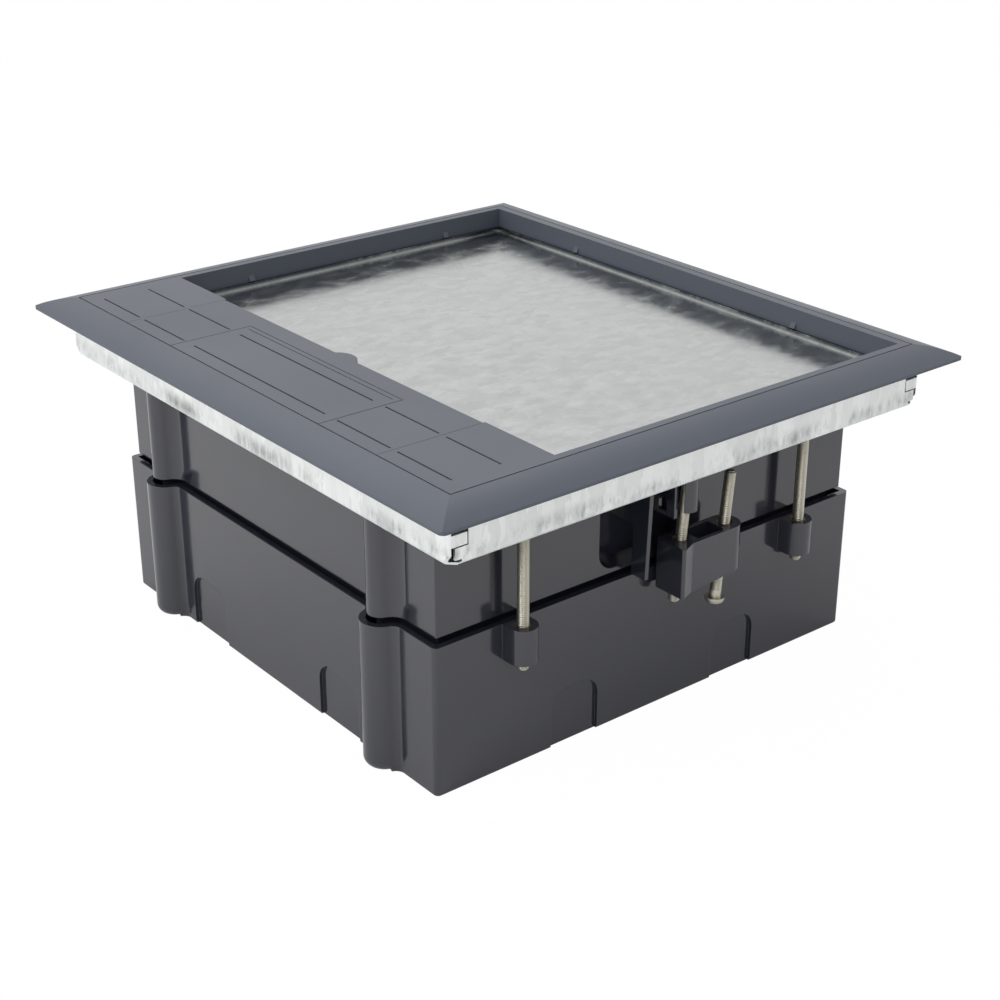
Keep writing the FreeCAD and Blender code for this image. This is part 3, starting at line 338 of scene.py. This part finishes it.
def screw_points(length, radius, head_radius, head_height, threaded):
    """Points of a screw that stands head up, its seat at height 0.

    Shank: radius minus the thread's depth times a zigzag of (height / pitch - turn), kept only over
    the threaded length.  Head: a quarter ellipse turned round the axis.  Drive: two crossing
    troughs, deepest in the middle, sunk into the head's top.
    """
    turn = np.arange(ROUND) / ROUND
    height = np.arange(-length, 0, PITCH / 6)
    zigzag = np.abs(((height[:, None] / PITCH - turn) % 1.0) * 2 - 1)
    depth = THREAD * np.clip((threaded - length - height) / PITCH, 0, 1)[:, None]
    point = np.clip((height + length) / PITCH, 0.0, 1.0)[:, None]
    shank = (radius - depth * zigzag) * (0.72 + 0.28 * point)
    lift = np.linspace(0, 1, 7)
    rim = head_radius - 0.35 * head_radius * (1 - np.sqrt(np.clip(1 - lift ** 2 * 0.96, 0, 1)))
    rings = np.concatenate([[radius, head_radius * 0.97], rim, np.linspace(rim[-1], 0.05 * rim[-1], 12)[1:]])
    levels = np.concatenate([[HEAD_LIFT, HEAD_LIFT], RIM_LOW + (head_height - RIM_LOW) * lift,
                             np.full(11, head_height)])
    on_top = np.arange(len(rings)) > NECK_RINGS
    dome = 0.06 * head_height * (rings / rim[-1]) ** 2
    levels = levels - np.where(on_top, dome, 0.0)
    head = rings[:, None] * np.ones(ROUND)
    off_arm = np.abs((turn * 4 + 0.5) % 1.0 - 0.5) * (math.pi / 2)
    side = head * np.sin(off_arm)
    reach = np.clip((DRIVE_REACH * head_radius - head) / (DRIVE_FADE * head_radius), 0, 1)
    arm = np.clip((DRIVE_HALF * head_radius - side) / (DRIVE_SLOPE * head_radius), 0, 1)
    sunk = DRIVE_DEPTH * head_height * reach * arm * on_top[:, None]
    radii = np.concatenate([shank, head])
    heights = np.concatenate([np.repeat(height[:, None], ROUND, 1), levels[:, None] - sunk])
    angle = turn * 2 * math.pi
    grid = np.stack([radii * np.cos(angle), radii * np.sin(angle), heights], -1)
    return grid, np.array([0, 0, -length]), np.array([0, 0, head_height - DRIVE_DEPTH * head_height])


def place(points, spot, upside_down=False, lean=0.0, turned=False):
    """Turns points head down if asked, leans them about Y, half-turns them, then moves them to spot."""
    moved = points * np.array([1, -1, -1]) if upside_down else points * 1.0
    c, s = math.cos(lean), math.sin(lean)
    moved = moved @ np.array([[c, 0, -s], [0, 1, 0], [s, 0, c]])
    if turned:
        moved = moved * np.array([-1, -1, 1])
    return moved + np.array(spot)


trial = screw_points(60 * MM, 2.5 * MM, 4.3 * MM, 2.6 * MM, 60 * MM)[0]
print("one screw:", trial.shape[0] * trial.shape[1], "points")

# %% [markdown]
# ## Adjusting screws and clamp screws
# Each screw takes its place and length from the box of the CAD solid that it stands for, so nothing
# is measured twice.  The adjusting screws stand upright.  The clamp screws lean by 5.5 degrees in
# X: the tip of a leaned shank touches the box of its solid with the edge of its end, a radius away
# from the axis, and that gives the middle of the tip.

# %% Make the adjusting screws
SHANK, HEAD, HEAD_H = 2.5 * MM, 4.3 * MM, 2.6 * MM
for number in (1, 2, 3, 4):
    node = "adjust_screw_%d" % number
    low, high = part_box(node)
    seat = high.z - HEAD_H
    length = seat - low.z
    spot = ((low.x + high.x) / 2, (low.y + high.y) / 2, seat)
    grid, tip, crown = screw_points(length, SHANK, HEAD, HEAD_H, length - 4 * MM)
    skin("adjust_thread_%d" % number, *(place(p, spot) for p in (grid, tip, crown)),
         "adjusting_screw_%d" % number, plated_steel, "zinc_steel", [node])
print("adjusting screws:", round(length / MM, 1), "mm long")

# %% Make the leaning clamp screws
LEAN = math.radians(5.5)
HEAD_TOP = HEAD - 0.45 * HEAD_H
for kind, head_down in (("drive", False), ("pusher", True)):
    for end, side in (("front", 1), ("rear", -1)):
        node = "clamp_%s_screw_%s" % (kind, end)
        low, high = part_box(node)
        axis = Vector((side * math.sin(LEAN), 0, math.cos(LEAN)))
        across = SHANK * math.cos(LEAN)
        rise = SHANK * math.sin(LEAN)
        length = (high.z - low.z - rise - HEAD_TOP * math.sin(LEAN)) / math.cos(LEAN) - HEAD_H
        right = (side > 0) == head_down
        tip_x = high.x - across if right else low.x + across
        tip_z = high.z - rise if head_down else low.z + rise
        tip_end = Vector((tip_x, (low.y + high.y) / 2, tip_z))
        seat = tip_end + axis * (-length if head_down else length)
        points = screw_points(length, SHANK, HEAD, HEAD_H, length - 3 * MM)
        skin("clamp_%s_thread_%s" % (kind, end), *(place(p, seat, head_down, LEAN, side < 0) for p in points),
             "clamp_%s_%s" % (kind, end), plated_steel, "zinc_steel", [node])
        print(node, "length", round(length / MM, 2), "mm")

# %% [markdown]
# ## Pan-head screws of the tray and the carriers
# Eight screws hold the moulded box under the tray, and eight hold the device carriers on their
# lugs.  In CAD they are plain pins with round heads.  The same surface as above gives them domed
# heads with a cross.  All eight of a set are one mesh, because they share one CAD node.

# %% Make the tray and carrier screws
SMALL, SMALL_HEAD, SMALL_H = 1.75 * MM, 3.2 * MM, 2.0 * MM
TRAY_SHORT, TRAY_LONG = (48.0, 125.8), (117.1, 45.0)    # mm, screws at the short and the long sides
LUG = (25.2, 98.4)                        # mm, carrier screws from the middle of their carrier
POWER_X, DATA_X = -12.0, 62.4             # mm, middles of the two carriers
signs = np.array([(-1, -1), (-1, 1), (1, -1), (1, 1)])
tray_spots = np.concatenate([signs * TRAY_SHORT, signs * TRAY_LONG]) * MM
carrier_spots = np.concatenate([signs * LUG + (POWER_X, 0), signs * LUG + (DATA_X, 0)]) * MM
for node, spots in (("flange_screws", tray_spots), ("carrier_screws", carrier_spots)):
    low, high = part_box(node)
    seat = high.z - SMALL_H
    grid, tip, crown = screw_points(seat - low.z, SMALL, SMALL_HEAD, SMALL_H, 0.0)
    spots = np.concatenate([spots, np.full((8, 1), seat)], 1)
    skin(node.replace("screws", "pan_heads"), grid + spots[:, None, None], tip + spots, crown + spots,
         "upper", plated_steel, "zinc_steel", [node])
    print(node, "seat at", round(seat / MM, 1), "mm")

# %% [markdown]
# ## Contacts of the power outlets
# Each outlet has two sprung earth contacts at the sides of its recess and a brass sleeve deep in
# each pin hole.  A contact is a strip whose middle bows out towards the plug.  A sleeve is a cup,
# drawn as one profile turned round its axis: up the outside, over the rim and down the inside.

# %% Make the outlet contacts
gold = finish("Gold_plated_bronze", "#D9B86A", 1.0, 0.24, 0.03, 1 * MM)
turn = np.linspace(0, 2 * np.pi, 24, endpoint=False)
up = np.linspace(0, 1, 14)[:, None]
CONTACT_OUT, CONTACT_BOW = 17.75, 0.9     # mm from the outlet's axis, and how far the middle bows in
CONTACT_LOW, CONTACT_TALL = -13.4, 10.8   # mm below the face, and length
PIN_OUT = 9.5 * MM                        # pin hole from the outlet's axis
SLEEVE_FOOT, SLEEVE_RIM, SLEEVE_FLOOR = -22.5, -15.0, -21.5   # mm below the face
for number in (1, 2, 3, 4):
    low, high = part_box("power_module_%d" % number)
    middle = np.array([(low.x + high.x) / 2, (low.y + high.y) / 2, high.z])
    bow = (CONTACT_OUT - CONTACT_BOW * np.sin(np.pi * up)) * MM
    across = np.array([-2.0, 2.0, 2.0, -2.0]) * MM + 0 * up
    thick = np.array([-0.25, -0.25, 0.25, 0.25]) * MM
    height = (CONTACT_LOW + CONTACT_TALL * up) * MM + 0 * thick
    strips = np.stack([np.stack([across, side * bow + thick, height], -1) for side in (-1, 1)]) + middle
    skin("outlet_%d_earth_contacts" % number, strips, strips[:, 0].mean(1), strips[:, -1].mean(1),
         "upper", plated_steel, "zinc_steel")
    radius = np.array([2.4, 2.4, 1.9, 1.9])[:, None] * MM
    level = np.array([SLEEVE_FOOT, SLEEVE_RIM, SLEEVE_RIM, SLEEVE_FLOOR])[:, None] * MM + 0 * turn
    cup = np.stack([radius * np.cos(turn), radius * np.sin(turn), level], -1)
    pins = np.array([(-PIN_OUT, 0, 0), (PIN_OUT, 0, 0)]) + middle
    skin("outlet_%d_pin_sleeves" % number, cup + pins[:, None, None], pins + (0, 0, SLEEVE_FOOT * MM),
         pins + (0, 0, SLEEVE_FLOOR * MM), "upper", brass, "brass")
print("outlet contacts: 8 strips and 8 sleeves")

# %% [markdown]
# ## Sockets of the data jacks
# A modular jack is a black shell with a stepped mouth, wide for the plug and narrow for its latch.
# Eight gold-plated springs lie side by side in it.  The shell is a ring of eight corners: its outer
# rectangle and its stepped mouth have the same number of corners, so they join one to one.

# %% Make the data jacks
SHELL_FOOT, SHELL_FACE, SHELL_FLOOR = -14.0, -0.8, -12.5      # mm below the face of the module
JACK_OUT = 10 * MM                        # each jack from the middle of its module
LANE = 1.02 * MM                          # spacing of the springs
mouth = np.array([(5.9, -3.5), (5.9, 3.5), (-5.9, 3.5), (-5.9, -3.5), (-3, -3.5), (-3, -5),
                  (3, -5), (3, -3.5)])
edge = np.array([(7.25, -5.95), (7.25, 5.95), (-7.25, 5.95), (-7.25, -5.95), (-4, -5.95), (-3, -5.95),
                 (3, -5.95), (4, -5.95)])
plan = np.stack([edge, edge, mouth, mouth]) * MM
depth = np.array([SHELL_FOOT, SHELL_FACE, SHELL_FACE, SHELL_FLOOR])[:, None] * MM + np.zeros(8)
shell = np.concatenate([plan, depth[..., None]], -1)
spring_y = np.array([3.2, 2.9, 1.6, 0.3, -0.6, -0.9])[:, None] * MM
spring_z = np.array([-12.4, -3.2, -2.6, -4.4, -6.6, -8.2])[:, None] * MM
square = np.array([(-0.2, -0.2), (0.2, -0.2), (0.2, 0.2), (-0.2, 0.2)]) * MM
for number in (1, 2, 3, 4):
    low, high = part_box("data_module_%d" % number)
    middle = np.array([(low.x + high.x) / 2, (low.y + high.y) / 2, high.z])
    jacks = np.array([(-JACK_OUT, 0, 0), (JACK_OUT, 0, 0)]) + middle
    skin("data_%d_jack_shells" % number, shell + jacks[:, None, None], jacks + (0, 0, SHELL_FOOT * MM),
         jacks + (0, 0, SHELL_FLOOR * MM), "upper", carrier_abs, "carrier_plastic")
    lanes = (np.arange(8) - 3.5) * LANE
    spring = np.stack([square[:, 0] + 0 * spring_y, spring_y + square[:, 1],
                       spring_z + 0 * square[:, 1]], -1)
    lanes = np.stack([lanes, 0 * lanes, 0 * lanes], -1)
    comb = (jacks[:, None] + lanes).reshape(-1, 1, 1, 3) + spring
    skin("data_%d_springs" % number, comb, comb[:, 0].mean(1), comb[:, -1].mean(1), "upper", gold, "brass")
print("data jacks: 8 shells, 64 springs")

# %% [markdown]
# ## Studio: floor, light and camera
# A pale floor carries the soft shadow under the box.  Straight towards the camera it shows almost
# pure white, so the box stands clear of it, while mirrors see mostly its matt paper.  One large
# lamp on the left models the forms, a weak one in front fills them, and one at the back lights the
# tops.  The world adds even light.  In mirrors its front half is dim, as the unlit end of a studio is.

# %% Floor
FLOOR_SEEN, FLOOR_MIRRORED = 0.985, 0.05  # share of plain white for the camera and for mirrors
floor_mesh = bpy.data.meshes.new("studio_floor")
reach = 6.0
floor_mesh.from_pydata([(-reach, -reach, 0), (reach, -reach, 0), (reach, reach, 0), (-reach, reach, 0)], [],
                       [(0, 1, 2, 3)])
floor = bpy.data.objects.new("studio_floor", floor_mesh)
bpy.context.scene.collection.objects.link(floor)
floor_paint, tree = blank("Floor_white_paper")
matt = add(tree, "ShaderNodeBsdfDiffuse", {"Color": colour("#F2F2F2")})
glow = add(tree, "ShaderNodeEmission", {"Color": (1, 1, 1, 1), "Strength": 1.0})
path = add(tree, "ShaderNodeLightPath")
seen = add(tree, "ShaderNodeMath", {0: path.outputs["Is Camera Ray"], 1: FLOOR_SEEN}, operation="MULTIPLY")
mirrored = add(tree, "ShaderNodeMath", {0: path.outputs["Is Glossy Ray"], 1: FLOOR_MIRRORED},
               operation="MULTIPLY")
share = add(tree, "ShaderNodeMath", {0: seen.outputs["Value"], 1: mirrored.outputs["Value"]}, operation="ADD")
mix = add(tree, "ShaderNodeMixShader", {0: share.outputs["Value"], 1: matt.outputs["BSDF"],
                                        2: glow.outputs["Emission"]})
add(tree, "ShaderNodeOutputMaterial", {"Surface": mix.outputs["Shader"]})
floor_mesh.materials.append(floor_paint)

# %% World and lamps
AMBIENT = 0.62                            # world strength for matt surfaces
BRIGHT_END, DIM_END = 1.0, 0.3            # what mirrors see behind the box and in front of it
FRONT = (-0.62, -0.78, 0.0)
world = bpy.data.worlds.new("studio_world")
bpy.context.scene.world = world
world.use_nodes = True
tree = world.node_tree
tree.nodes.clear()
path = add(tree, "ShaderNodeLightPath")
towards = add(tree, "ShaderNodeVectorMath", {0: add(tree, "ShaderNodeTexCoord").outputs["Generated"],
                                             1: FRONT}, operation="DOT_PRODUCT")
backdrop = add(tree, "ShaderNodeMapRange", {"Value": towards.outputs["Value"], "From Min": 0.1,
                                            "From Max": 0.6, "To Min": BRIGHT_END, "To Max": DIM_END})
level = add(tree, "ShaderNodeMix", {"Factor": path.outputs["Is Glossy Ray"], "A": AMBIENT,
                                    "B": backdrop.outputs["Result"]})
level = add(tree, "ShaderNodeMix", {"Factor": path.outputs["Is Camera Ray"], "A": level.outputs["Result"],
                                    "B": 1.0})
sky = add(tree, "ShaderNodeBackground", {"Color": (1, 1, 1, 1), "Strength": level.outputs["Result"]})
add(tree, "ShaderNodeOutputWorld", {"Surface": sky.outputs["Background"]})


def softbox(name, spot, aim, size, watts):
    """Square area lamp at spot, turned so that it faces aim."""
    lamp = bpy.data.lights.new(name, "AREA")
    lamp.size = size
    lamp.energy = watts
    holder = bpy.data.objects.new(name, lamp)
    bpy.context.scene.collection.objects.link(holder)
    holder.location = spot
    holder.rotation_mode = "QUATERNION"
    holder.rotation_quaternion = (Vector(aim) - Vector(spot)).to_track_quat("-Z", "Y")
    return holder


softbox("key_softbox", (-1.6, 0.2, 1.2), (0, 0, 0.08), 1.2, 17.0)
softbox("fill_softbox", (-0.75, -1.0, 1.25), (-0.05, -0.05, 0.08), 0.8, 5.5)
softbox("top_softbox", (0.3, 0.9, 1.8), (0, 0, 0.1), 1.6, 9.3)

# %% Camera
lens = bpy.data.cameras.new("studio_camera")
lens.lens = 65.82
lens.sensor_width = 36.0
lens.clip_start = 0.01
camera = bpy.data.objects.new("studio_camera", lens)
bpy.context.scene.collection.objects.link(camera)
camera.location = (-0.47616, -0.60650, 0.4062)
camera.rotation_mode = "QUATERNION"
camera.rotation_quaternion = Vector((0.56928, 0.70892, -0.41635)).to_track_quat("-Z", "Y")
bpy.context.scene.camera = camera
bpy.context.scene.view_settings.view_transform = "Standard"
